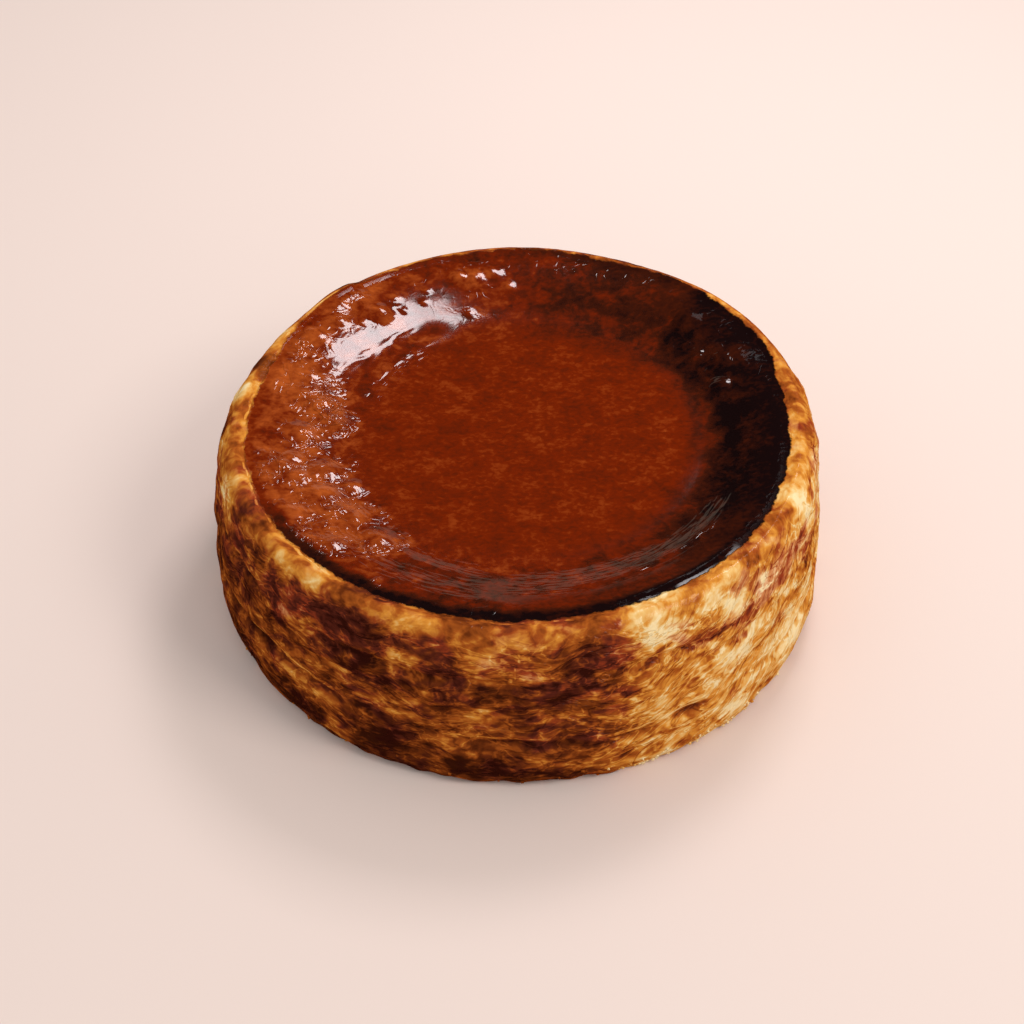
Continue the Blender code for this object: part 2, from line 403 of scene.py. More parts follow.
def side_relief(point, azimuth, form):
    """How far the solid's own folds, wrinkles and creases move the side outwards."""
    upright = Vector((point.x, point.y, point.z * FOLD_STRETCH)) / FOLD_SPACING
    level = Vector((point.x * WRINKLE_STRETCH, point.y * WRINKLE_STRETCH, point.z)) / WRINKLE_SPACING
    marks = form.fold_depth * grain(upright) + form.wrinkle_depth * grain(level)
    for number, crease in enumerate(CREASES):
        line = crease_line(crease, azimuth, form.foot_radius)
        here = Vector((point.x, point.y, number * form.foot_radius)) / CREASE_BREAK
        strength = ease(*CREASE_GAPS, grain(here))
        marks -= form.crease_depth * strength * hump(point.z - line, CREASE_WIDTH)
        if number == 0:
            marks += LEDGE * (1.0 - ease(line - LEDGE_BAND, line, point.z))
    marked = 1.0 - ease(form.crest_height - CREST_BAND, form.crest_height, point.z)
    foot = FOOT_RAGGED * grain(point / RAGGED_SPACING) * (1.0 - ease(0.0, FOOT_BAND, point.z))
    return marked * ease(0.0, FOOT_BAND, point.z) * marks + foot


def crumple(paper):
    """Sharp little creases at a place on the paper, from about -1 in a crease to 1 on a ridge."""
    total = 0.0
    for spacing, share in CRUMPLES:
        place = Vector((paper.x * CRUMPLE_STRETCH, paper.y * CRUMPLE_STRETCH, paper.z)) / spacing
        total += share * (1.0 - CRUMPLE_SHARP * abs(grain(place)))
    return total


def short_creases(form):
    """The short creases in front, and more behind, each between two unrolled places."""
    draw = random.Random(BACK_SEED)
    rows = list(SHORT_CREASES)
    for number in range(BACK_CREASES):
        start, height = draw.uniform(8, 160), draw.uniform(0.3, 0.85) * form.crest_height
        end, climb = start + draw.uniform(4, 12), draw.uniform(-4, 4) * MM
        strength = 0.6 if number % 2 else -0.9
        rows.append((start * DEG, height, end * DEG, height + climb, strength))
    reach = form.foot_radius
    return [
        (Vector((reach * start, low)), Vector((reach * end, high)), strength)
        for start, low, end, high, strength in rows
    ]


def short_crease(place, creases):
    """Height of the short creases at an unrolled place, from -1 in a furrow to 1 on a ridge."""
    height = 0.0
    for start, end, strength in creases:
        along = end - start
        share = min(1.0, max(0.0, (place - start).dot(along) / along.length_squared))
        away = (place - start - share * along).length
        if away < MARK_REACH * SHORT_WIDTH:
            height += strength * hump(away, SHORT_WIDTH)
    return height


def scattered(seed, fields, radii, heights):
    """(middle, radius, height) of each dome, scattered over its field."""
    draw = random.Random(seed)
    found = []
    for count, start, end, inner, outer in fields:
        for _ in range(count):
            azimuth, ring = draw.uniform(start, end), draw.uniform(inner, outer)
            middle = Vector((ring * math.cos(azimuth), ring * math.sin(azimuth)))
            found.append((middle, draw.uniform(*radii), draw.uniform(*heights)))
    return found


def ridges(azimuth, radius):
    """Height of the skin's low ridges here."""
    height = 0.0
    for ring, start, end, rise, width in RIDGES:
        height += rise * between(start, end, azimuth, RIDGE_FADE) * hump(radius - ring, width)
    return height


def banded(bands, azimuth, radius):
    """How strong the bands of pleats or drapes are at a place on the top."""
    strength = 0.0
    for inner, outer, start, end, most in bands:
        band = ease(inner - BAND_FADE, inner + BAND_FADE, radius)
        band *= 1.0 - ease(outer - BAND_FADE, outer + BAND_FADE, radius)
        strength = max(strength, most * band * between(start, end, azimuth, RIDGE_FADE))
    return strength


def along_paper(point, azimuth):
    """How far up the paper a point of the side is. It was pulled upwards on the right."""
    turn = azimuth % math.tau
    pull = ease(*SWIRL_ENDS, turn) - ease(*SWIRL_STARTS, turn)
    return point.z + SWIRL * pull + WANDER * grain(point / WANDER_SPACING)


def rim_lump(azimuth):
    """Height of the one lump of the rim."""
    low, high, top, foot = RIM_LUMP
    return LUMP_HEIGHT * ease(low, high, azimuth) * (1.0 - ease(top, foot, azimuth))


def dome_over(place, domes):
    """(height, share of the way up, nearness to an edge) of the domes at a place on the top."""
    height = up = edge = 0.0
    for middle, reach, rise in domes:
        share = (place - middle).length / reach
        if share < DOME_REACH:
            bulge = max(0.0, 1.0 - share * share) ** 2
            height = max(height, rise * bulge)
            up = max(up, bulge)
            edge = max(edge, hump(share - DOME_EDGE, DOME_EDGE_WIDTH))
    return height, up, edge


def top_wave(point, radius, form):
    """The slow waves of the top, as in the solid."""
    size = FLOOR_WAVE + (TOP_WAVE - FLOOR_WAVE) * ease(form.floor_radius, form.skin_radius, radius)
    return size * grain(Vector((point.x, point.y, 0.0)) / TOP_WAVE_SPACING)


def crinkle(azimuth, radius, reach):
    """Fine creases of the skin, which run round the cake where the middle sank."""
    turned = reach * outwards(azimuth) / CRINKLE_ALONG
    place = Vector((turned.x, turned.y, radius / CRINKLE_ACROSS))
    sharp = 1.0 - abs(grain(place))
    return CRINKLE_DEPTH * (sharp ** 3 - CRINKLE_MEAN)


# Browning of the side, from 0 for pale to 1 for umber. A belt round it is darker
SIDE_LEVEL = 0.74
SIDE_PALER = 0.37
BELT_DARKER = 0.06
BELT_HEIGHT = 40 * MM
BELT_WIDTH = 10 * MM
# Where it browned more or less, and one broad patch low in front that is partly painted shade
# at the foot: azimuth, height, half width, half height, strength
SIDE_PATCHES = measured((DEG, MM, MM, MM, 1), (
    (-164, 57, 8, 8, -0.42), (-138, 61, 24, 3, -0.3), (-111, 61, 13, 4, -0.44),
    (-86, 61, 26, 3, -0.22), (-124, 55, 26, 4, 0.2), (-133, 47, 8, 5, -0.26),
    (-111, 49, 6, 5, -0.26), (-97, 55, 7, 5, -0.26), (-104, 42, 10, 6, 0.16),
    (-89, 54, 7, 5, -0.24), (-88, 47, 7, 2, -0.28), (-80, 53, 7, 7, 0.18),
    (-90, 39, 11, 5, 0.16), (-86, 31, 5, 4, -0.14), (-97, 34, 5, 5, -0.2),
    (-109, 34, 3, 5, -0.2), (-123, 35, 4, 2, -0.26), (-119, 39, 10, 6, 0.14),
    (-140, 56, 6, 3, -0.2), (-140, 38, 16, 5, 0.08), (-135, 23, 26, 5, -0.2),
    (-125, 10, 4, 7, -0.3), (-137, 9, 9, 7, 0.2), (-151, 12, 8, 8, 0.18),
    (-115, 11, 8, 8, 0.22), (-99, 19, 15, 5, -0.12), (-101, 9, 9, 5, 0.12),
    (-109, 8, 3, 4, -0.14), (-67, 57, 9, 5, -0.36), (-51, 57, 6, 6, -0.28),
    (-58, 59, 4, 4, 0.2), (-57, 49, 10, 4, 0.16), (-36, 50, 6, 3, 0.12),
    (-81, 33, 10, 9, -0.06), (-80, 14, 11, 8, -0.12), (-68, 28, 5, 6, -0.16),
    (-50, 34, 8, 6, -0.22), (-43, 40, 8, 6, -0.1), (-58, 14, 7, 5, 0.08),
    (-49, 10, 5, 6, -0.28), (-34, 20, 14, 9, -0.24), (-43, 8, 5, 4, 0.14),
    (-22, 57, 9, 6, -0.26), (-6, 40, 14, 20, -0.12), (168, 58, 7, 9, -0.58),
    (178, 57, 4, 5, 0.22), (180, 60, 12, 4, -0.28), (154, 59, 12, 6, -0.35),
    # The first patch here, broad and low in front, is partly browning and partly painted shade at the
    # foot
    (-115, 7, 66, 12, 0.15), (-100, 58, 40, 5, 0.07), (-40, 61, 20, 4, 0.16),
    (0, 61, 30, 4, 0.26), (34, 61, 30, 4, 0.3), (-93, 8, 12, 6, 0.22),
))
PATCH_REACH = 6.0  # the square of how many half widths away a patch has faded out

# Browning of the top, from 0 for amber to 1 for black
TOP_LEVEL = 0.44
# Paler parts of its ring: which sector, by how much, and the rings where that starts and is full
TOP_PALER = (("amber top", 0.14, 54 * MM, 74 * MM), ("orange top", 0.15, 76 * MM, 85 * MM))
# Darker parts: which sector, up to which level, and the rings
TOP_DARKER = (("dark front", 0.58, 58 * MM, 74 * MM), ("dark right", 0.70, 44 * MM, 66 * MM))
BLACK_LEVEL = 0.97
BLACK_RINGS = (55 * MM, 69 * MM)
BLACK_STARTS = (-52 * DEG, -28 * DEG)
BLACK_ENDS = (42 * DEG, 48 * DEG)
# The skin's edge is darker all round, and nearly black in front and on the right
EDGE_DARKER = 0.10
EDGE_BLACKER = 0.42
EDGE_BAND = (1.5 * MM, 6 * MM)


def side_patches(form):
    """The patches in front, and more behind, half of them pale and half dark."""
    draw = random.Random(BACK_SEED)
    behind = [
        (
            draw.uniform(6, 186) * DEG, draw.uniform(0.1, 0.95) * form.crest_height,
            draw.uniform(6, 13) * MM, draw.uniform(5, 10) * MM,
            draw.uniform(0.12, 0.22) if number % 2 else draw.uniform(-0.45, -0.2),
        )
        for number in range(BACK_PATCHES)
    ]
    return SIDE_PATCHES + tuple(behind)


def side_browning(azimuth, height, reach, patches):
    """How far the side browned: most in its belt, least on the right, more or less in patches, and
    partly painted shade low in front.
    """
    level = SIDE_LEVEL + BELT_DARKER * hump(height - BELT_HEIGHT, BELT_WIDTH)
    level -= SIDE_PALER * sector("pale side", azimuth)
    for turn, up, width, tall, strength in patches:
        across = reach * ((azimuth - turn + math.pi) % math.tau - math.pi) / width
        off = across * across + ((height - up) / tall) ** 2
        if off < PATCH_REACH:
            level += strength * math.exp(-off)
    return level


def top_browning(azimuth, radius, inside):
    """How far the top browned: amber on the left, black on the right and along the skin's edge."""
    level = TOP_LEVEL
    for name, paler, start, full in TOP_PALER:
        level -= paler * sector(name, azimuth) * ease(start, full, radius)
    for name, darkened, start, full in TOP_DARKER:
        share = sector(name, azimuth) * ease(start, full, radius)
        level += share * max(0.0, darkened - level)
    black = ease(*BLACK_STARTS, azimuth) * (1.0 - ease(*BLACK_ENDS, azimuth))
    level += black * ease(*BLACK_RINGS, radius) * max(0.0, BLACK_LEVEL - level)
    edge = EDGE_DARKER + EDGE_BLACKER * sector("black edge", azimuth)
    return min(1.0, level + edge * (1.0 - ease(*EDGE_BAND, inside)))


# The skin's gloss: none in the middle of the top, and little along its charred edge
GLASSY_RINGS = (50 * MM, 62 * MM)
DULLER = 0.95
DULL_RINGS = (74 * MM, 80 * MM)
EDGE_SHEEN = 0.1
EDGE_SHEEN_BAND = (0.5 * MM, 4 * MM)
SHEEN_GAPS = (-0.2, 0.2)
# How far the skin pinched: everywhere, at its lip, in clusters, and round blisters
PINCHED = 0.03
PINCHED_LIP = 0.12
PINCHED_CLUSTERS = 0.9
PINCHED_LEFT = 0.7
PINCHED_BACK = 0.3  # a share of the left's
PINCHED_RIGHT = 0.3
PINCHED_RINGS = (54 * MM, 62 * MM)
PINCHED_LIP_RINGS = (80 * MM, 86 * MM)
POOL_EDGE = (0.6, 1.1)
CLUSTER_GAPS = (0.0, 0.45)
CLUSTER_LEVEL = 30 * MM  # where the clusters' noise is cut
SKIN_BORDER = 4 * MM
DOME_PALER = 0.12
# The upper lip of the longest crease, painted pale as a highlight, and its furrow, painted dark as
# shade
CREASE_LIP = 1.9 * MM
CREASE_LIP_WIDTH = 0.9 * MM
CREASE_LIP_LEAST = 0.5
CREASE_LIP_GAPS = (-0.3, 0.3)
FURROW_WIDTH = 1.4 * MM
# Pale flakes and paler custard just outside the skin: mean, spread, how far out and how wide
FLAKY = (0.42, 0.5)
FLAKY_CALM = 0.7
FLAKES_OUT = 0.9 * MM
FLAKES_WIDTH = 0.8 * MM
PALER = (0.05, 0.3)
PALER_OUT = 1.2 * MM
PALER_WIDTH = 1.6 * MM
# How much of the paper's weave shows, in relief and in its painted highlights and shade: least on
# the left, and almost none at the crest
WOVEN_LEAST = 0.75
CREST_UNWOVEN = 0.9
# The pink to purple cast: everywhere, in a band under the rim, and more of it on the right
ROSY = 0.1
ROSY_UNDER_RIM = 0.45
ROSY_RIGHT = 0.4
ROSY_HEIGHT = 51 * MM
ROSY_BAND = 8 * MM


class Baking:
    """Shapes the turned cake, point by point, and notes how the oven left each point, with the light
    and shade painted on its side.
    """

    notes = (
        "inside", "side_browned", "top_browned", "crinkled", "pleated", "draped", "glassy",
        "ridge_highlights_and_flakes", "furrow_shade", "crumpled", "woven", "rosy",
    )

    def __init__(self, form):
        self.form = form
        self.patches = side_patches(form)
        self.creases = short_creases(form)
        self.domes = scattered(BLISTER_SEED, BLISTER_FIELDS, BLISTER_RADIUS, BLISTER_HEIGHT)
        self.domes += scattered(BUBBLE_SEED, BUBBLE_FIELDS, BUBBLE_RADIUS, BUBBLE_HEIGHT)

    def place(self, point):
        """(where the point ends up, its place along the paper, and its notes by name)."""
        form = self.form
        radius = point.xy.length
        azimuth = math.atan2(point.y, point.x)
        outward = outwards(azimuth)
        moved = point + outward * radius * waves(OUTLINE_WAVES, azimuth)
        unrolled = form.foot_radius * outward
        inside = self.skin_edge(azimuth, outward) - radius
        note = dict.fromkeys(self.notes, 0.0)
        if radius <= form.crest_radius and point.z > form.shoulder_height:
            risen = ease(form.floor_radius, form.skin_radius, radius)
            unrolled.z = form.crest_height + form.crest_radius - radius
            if inside < 0.0:
                unrolled.z += along_paper(point, azimuth) - point.z
            moved += (1.0 - risen) * FLOOR_SHIFT
            moved.z += self.on_top(point, azimuth, radius, inside, note)
        else:
            risen = ease(form.shoulder_height, form.crest_height, point.z)
            unrolled.z = along_paper(point, azimuth)
            inside -= form.crest_height - point.z
            moved += outward * self.on_side(point, azimuth, unrolled, note)
        moved.z += risen * waves(RIM_WAVES, azimuth)
        if point.z > form.shoulder_height:
            crest = ease(form.skin_radius - LUMP_REACH, form.skin_radius, radius)
            moved.z += risen * crest * rim_lump(azimuth)
        self.brown(point, azimuth, radius, inside, note)
        return moved, tuple(unrolled), note

    def skin_edge(self, azimuth, outward):
        """Radius where the skin ends: ragged, and out over the crest at the back."""
        over = sum(reach * sector(name, azimuth) for reach, name in SKIN_OVERS)
        ragged = EDGE_RAGGED * grain(self.form.skin_radius * outward / EDGE_SPACING)
        return self.form.skin_radius + over + ragged

    def on_top(self, point, azimuth, radius, inside, note):
        """How far blisters, waves, ridges and crinkles raise a point of the top."""
        form = self.form
        height, up, rim = dome_over(point.xy, self.domes)
        whole = ease(0.0, SKIN_BORDER, inside)
        crinkled = self.crinkled(point, azimuth, radius, rim) * whole
        sheen = 1.0 - DULLER * sector("dull edge", azimuth) * ease(*DULL_RINGS, radius)
        sheen *= at_least(EDGE_SHEEN, ease(*EDGE_SHEEN_BAND, inside))
        lit = banded(SHEENS, azimuth, radius) * ease(*SHEEN_GAPS, grain(point / SHORT_SPACING))
        note["crinkled"] = crinkled
        note["pleated"] = banded(PLEATS, azimuth, radius) * whole
        note["draped"] = banded(DRAPES, azimuth, radius) * whole
        note["glassy"] = ease(*GLASSY_RINGS, radius) * max(sheen, lit)
        note["top_browned"] = -DOME_PALER * up
        raised = max(height, top_wave(point, radius, form)) + ridges(azimuth, radius)
        return raised + crinkled * crinkle(azimuth, radius, form.foot_radius)

    def on_side(self, point, azimuth, unrolled, note):
        """How far the paper's marks move a point of the side outwards."""
        form = self.form
        low = ease(0.0, FOOT_BAND, point.z)
        high = 1.0 - CREST_CALM * ease(form.crest_height - CREST_BAND, form.crest_height, point.z)
        crumpled = crumple(unrolled)
        wavy = SHORT_WAVE * grain(point / SHORT_SPACING)
        flat = Vector((form.foot_radius * azimuth + wavy, point.z + wavy))
        short = short_crease(flat, self.creases)
        lip, furrow = self.long_crease(point, azimuth)
        note["crumpled"] = crumpled
        # Painted highlight on the creases' lips and ridges, and painted shade in their furrows
        note["ridge_highlights_and_flakes"] = max(lip, short)
        note["furrow_shade"] = max(furrow, -short)
        note["glassy"] = 1.0
        fine = low * high * (CRUMPLE_DEPTH * crumpled + SHORT_DEPTH * short)
        return side_relief(point, azimuth, form) + fine

    def brown(self, point, azimuth, radius, inside, note):
        """Notes how far a point browned, with painted shade low in front, and what is seen of flakes,
        painted highlights, weave and pink cast.
        """
        form = self.form
        flat = Vector((point.x, point.y, 0.0))
        flaky = FLAKY[0] + FLAKY[1] * grain(flat / CLUSTER_SPACING)
        flaky *= 1.0 - FLAKY_CALM * sector("calm rim", azimuth)
        flakes_and_highlights = flaky * hump(inside + FLAKES_OUT, FLAKES_WIDTH)
        paler = PALER[0] + PALER[1] * grain(flat / WOBBLE_SPACING)
        side = side_browning(azimuth, point.z, form.foot_radius, self.patches)
        crest = ease(form.crest_height - CREST_BAND, form.crest_height, point.z)
        woven = at_least(WOVEN_LEAST, sector("woven side", azimuth))
        rosier = ROSY_UNDER_RIM + ROSY_RIGHT * sector("rosy side", azimuth)
        note["inside"] = inside / MM
        note["ridge_highlights_and_flakes"] = max(note["ridge_highlights_and_flakes"], flakes_and_highlights)
        note["side_browned"] = side - paler * hump(inside + PALER_OUT, PALER_WIDTH)
        note["top_browned"] += top_browning(azimuth, radius, inside)
        note["woven"] = woven * (1.0 - CREST_UNWOVEN * crest)
        note["rosy"] = ROSY + rosier * hump(point.z - ROSY_HEIGHT, ROSY_BAND)

    def long_crease(self, point, azimuth):
        """The upper lip of the longest crease, painted pale as a highlight, and its furrow, painted
        dark as shade.
        """
        above = point.z - crease_line(CREASES[0], azimuth, self.form.foot_radius)
        here = Vector((point.x, point.y, 0.0)) / CREASE_BREAK
        strength = at_least(CREASE_LIP_LEAST, ease(*CREASE_LIP_GAPS, grain(here)))
        lip = hump(above - CREASE_LIP, CREASE_LIP_WIDTH)
        return strength * lip, strength * hump(above, FURROW_WIDTH)

    def crinkled(self, point, azimuth, radius, rim):
        """How far the skin pinched: round blisters, and in clusters on the left of the ring."""
        left = sector("pinched left", azimuth)
        back = PINCHED_BACK * sector("pinched back", azimuth)
        right = sector("pinched right", azimuth)
        pool = (point.xy - SMOOTH_POOL).length / POOL_RADIUS
        calm = at_least(POOL_CALM, ease(*POOL_EDGE, pool))
        here = Vector((point.x, point.y, CLUSTER_LEVEL)) / CLUSTER_SPACING
        pinched = PINCHED + PINCHED_LIP * ease(*PINCHED_LIP_RINGS, radius)
        pinched += PINCHED_CLUSTERS * ease(*CLUSTER_GAPS, grain(here)) * left
        pinched += rim * (PINCHED_LEFT * max(left, back) + PINCHED_RIGHT * right)
        return calm * ease(*PINCHED_RINGS, radius) * pinched


def deselect():
    if bpy.context.object and bpy.context.object.mode != "OBJECT":
        bpy.ops.object.mode_set(mode="OBJECT")
    bpy.ops.object.select_all(action="DESELECT")


def drawn_section(points):
    """The half section as a line of edges, drawn one point after another."""
    deselect()
    bpy.ops.mesh.primitive_plane_add(size=MM)
    line = bpy.context.object
    bpy.ops.object.mode_set(mode="EDIT")
    bpy.ops.mesh.select_all(action="SELECT")
    bpy.ops.mesh.merge(type="CENTER")
    here = Vector((0.0, 0.0, 0.0))
    for radius, height in points[1:]:
        there = Vector((radius, 0.0, height))
        bpy.ops.mesh.extrude_region_move(TRANSFORM_OT_translate={"value": there - here})
        here = there
    return line


def spun(line):
    """The line turned once round the upright axis, closed and facing outwards."""
    bpy.ops.mesh.select_all(action="SELECT")
    bpy.ops.mesh.spin(steps=SEGMENTS, angle=math.tau, center=(0.0, 0.0, 0.0), axis=(0.0, 0.0, 1.0))
    bpy.ops.mesh.select_all(action="SELECT")
    bpy.ops.mesh.remove_doubles(threshold=WELD)
    bpy.ops.mesh.select_all(action="SELECT")
    bpy.ops.mesh.normals_make_consistent(inside=False)
    bpy.ops.object.mode_set(mode="OBJECT")
    return line


def add(tree, kind, settings=None, links=None, out=None):
    """Adds a shader node and returns one of its outputs: the one named, or the first in use.

    Links go from an input's name to a value, or to the output of another node.
    """
    new = tree.nodes.new("ShaderNode" + kind)
    new.location = (220 * len(tree.nodes), 0)
    for name, value in (settings or {}).items():
        setattr(new, name, value)
    for name, value in (links or {}).items():
        socket = next(s for s in new.inputs if s.identifier == name)
        if isinstance(value, bpy.types.NodeSocket):
            tree.links.new(value, socket)
        else:
            socket.default_value = value
    return next(s for s in new.outputs if s.enabled and out in (None, s.identifier))


def blank(name):
    """A new material with nothing but its shader and output."""
    material = bpy.data.materials.new(name)
    material.use_nodes = True
    return material, material.node_tree, material.node_tree.nodes["Principled BSDF"]


def rgba(colour):
    return (*colour, 1.0)


NOISE_MEAN = 0.5  # of Blender's noise texture
SMOOTH = {"interpolation_type": "SMOOTHSTEP"}
# Noise patterns of the custard: where they lie, size of a spot in mm, stretch along each axis,
# detail, twist
PATTERNS = {
    "blotch": ("solid", 9, (1.5, 1.5, 1), 2, 0.4),
    "stain": ("solid", 4, (1.5, 1.5, 1), 3, 0.6),
    "blush": ("solid", 7, (1.5, 1.5, 1), 3, 0.6),
    "mottle": ("solid", 8, (1.5, 1, 1), 3, 0.5),
    "speck": ("solid", 1.5, (1.3, 1, 1), 3, 0.5),
    "pinch": ("solid", 4, (1, 1, 1), 1, 1.2),
    "net": ("solid", 6, (1, 1, 1), 1, 1.2),
    "fray": ("solid", 2.2, (1, 1, 1), 3, 0),
    "fibre": ("paper", 1.7, (2, 2, 1), 3, 0.5),
    "flake": ("paper", 3.6, (2.6, 2.6, 1), 3, 0.6),
    "fold": ("paper", 5, (2.6, 2.6, 1), 3, 0.6),
    "pleat": ("paper", 1.3, (7, 7, 1), 1, 0.3),
    "drape": ("paper", 4.5, (3, 3, 1), 1, 0.8),
}
# Thin lines along the middle values of a pattern: its name, half their width, what they follow
LINES = {
    # Flake lines are raised and painted paler as a highlight; fold lines are sunk and painted darker
    # as shade
    "flakes_and_highlights": ("flake", 0.05, "woven"),
    "shaded_folds": ("fold", 0.045, "woven"),
    "nets": ("net", 0.10, "crinkled"),
}
# What browns the side and the top, and the light and shade painted on the side: patterns, and then
# marks, each with its weight
LIP_SPOTS = (("stain", 1.2), ("fibre", 0.8))
SIDE_SPOTS = (("blotch", 0.6), ("stain", 1.0), ("fibre", 0.4))
# Painted light on the side: highlights on flake lines and crease lips, shade in folds and furrows
SIDE_MARKS = (
    ("crumpled", -0.11), ("furrow_shade", 0.34), ("flakes_and_highlights", -0.20), ("shaded_folds", 0.15), ("highlit_lips_and_flakes", -0.32),
)
BLUSHES = (("blush", 3.0), ("browned", 1.0))
TOP_STAINS = (("stain", 0.8),)
TOP_SPOTS = (("mottle", 0.38), ("speck", 0.42))
FRAYED = (("fray", 2.2),)  # the skin's edge, in mm
# Relief too fine for the mesh, in mm: fibres and folds on the side, and pinched skin on the top
SIDE_RELIEF = (("fibre", 0.30), ("stain", 0.25), ("flakes_and_highlights", 0.14), ("shaded_folds", -0.16))
TOP_RELIEF = (("pinches", 0.24), ("nets", 0.24), ("pleats", 0.30), ("drapes", 0.5))
# What holds back a pattern of the top's relief
HELD = {
    "pinches": ("pinch", "crinkled"),
    "pleats": ("pleat", "pleated"),
    "drapes": ("drape", "draped"),
}


def summed(tree, mark, start, parts, mean=0.0):
    """start plus, for each named part, its weight times how far it is above the mean."""
    total = start
    for name, weight in parts:
        above = mark[name]
        if mean:
            above = add(tree, "Math", {"operation": "SUBTRACT"}, {"Value": above, "Value_001": mean})
        total = add(tree, "Math", {"operation": "MULTIPLY_ADD"}, {
            "Value": above, "Value_001": weight, "Value_002": total})
    return total


def toned(tree, level, stops):
    """The colour of a browning level, between stops of (level, colour)."""
    colour = add(tree, "ValToRGB", links={"Fac": level})
    elements = colour.node.color_ramp.elements
    for at, (position, tone) in enumerate(stops):
        stop = elements[at] if at < len(elements) else elements.new(position)
        stop.position, stop.color = position, rgba(tone)
    return colour


def custard_marks(tree):
    """By name: the noise patterns, the oven's notes, and the lines and folds made from both."""
    lie = {
        "solid": add(tree, "TexCoord", out="Object"),
        "paper": add(tree, "Attribute", {"attribute_name": "paper"}, out="Vector"),
    }
    mark = {
        name: add(tree, "Attribute", {"attribute_name": name}, out="Fac")
        for name in Baking.notes
    }
    for name, (where, size, stretch, detail, twist) in PATTERNS.items():
        scaled = add(tree, "Mapping", links={
            "Vector": lie[where], "Scale": tuple(1.0 / (size * MM * share) for share in stretch)})
        mark[name] = add(tree, "TexNoise", links={
            "Vector": scaled, "Scale": 1.0, "Detail": detail, "Distortion": twist})
    for name, (pattern, width, follows) in LINES.items():
        off = add(tree, "Math", {"operation": "SUBTRACT"}, {
            "Value": mark[pattern], "Value_001": NOISE_MEAN})
        away = add(tree, "Math", {"operation": "ABSOLUTE"}, {"Value": off})
        line = add(tree, "MapRange", SMOOTH, {
            "Value": away, "From Min": 0.0, "From Max": width, "To Min": 1.0, "To Max": 0.0})
        mark[name] = add(tree, "Math", {"operation": "MULTIPLY"}, {
            "Value": line, "Value_001": mark[follows]})
    for name, (pattern, follows) in HELD.items():
        mark[name] = add(tree, "Math", {"operation": "MULTIPLY"}, {
            "Value": mark[pattern], "Value_001": mark[follows]})
    return mark


def side_colour(tree, mark, colours):
    """The side: cream to umber, or the same with a pink cast under the rim."""
    # Pale lines on crease lips and ridges are painted highlights; along the skin's edge they are pale
    # flakes
    mark["highlit_lips_and_flakes"] = add(tree, "MapRange", SMOOTH, {
        "Value": summed(tree, mark, mark["ridge_highlights_and_flakes"], LIP_SPOTS, NOISE_MEAN),
        "From Min": 0.42, "From Max": 0.66})
    # Browning, then the marks with their painted shade and highlights
    browned = summed(tree, mark, mark["side_browned"], SIDE_SPOTS, NOISE_MEAN)
    browned = mark["browned"] = summed(tree, mark, browned, SIDE_MARKS)
    amber = toned(tree, browned, (
        (0.0, colours.cream), (1.0, colours.umber), (0.15, colours.straw), (0.32, colours.gold),
        (0.54, colours.rust), (0.75, colours.brown)))
    rosy = toned(tree, browned, (
        (0.0, colours.cream), (1.0, colours.soot), (0.15, colours.peach), (0.32, colours.tan),
        (0.54, colours.russet), (0.75, colours.plum)))
    blushed = add(tree, "MapRange", SMOOTH, {
        "Value": summed(tree, mark, mark["rosy"], BLUSHES, NOISE_MEAN),
        "From Min": 0.2, "From Max": 1.0})
    return add(tree, "Mix", {"data_type": "RGBA"}, {
        "Factor_Float": blushed, "A_Color": amber, "B_Color": rosy})


def top_colour(tree, mark, colours):
    """The skin of the top: amber to black, stained where it is glassy."""
    stains = add(tree, "Math", {"operation": "MULTIPLY"}, {
        "Value": summed(tree, mark, 0.0, TOP_STAINS, NOISE_MEAN),
        "Value_001": mark["glassy"]})
    stained = add(tree, "Math", {"operation": "ADD"}, {
        "Value": mark["top_browned"], "Value_001": stains})
    return toned(tree, summed(tree, mark, stained, TOP_SPOTS, NOISE_MEAN), (
        (0.0, colours.amber), (1.0, colours.burnt), (0.42, colours.caramel),
        (0.70, colours.treacle)))


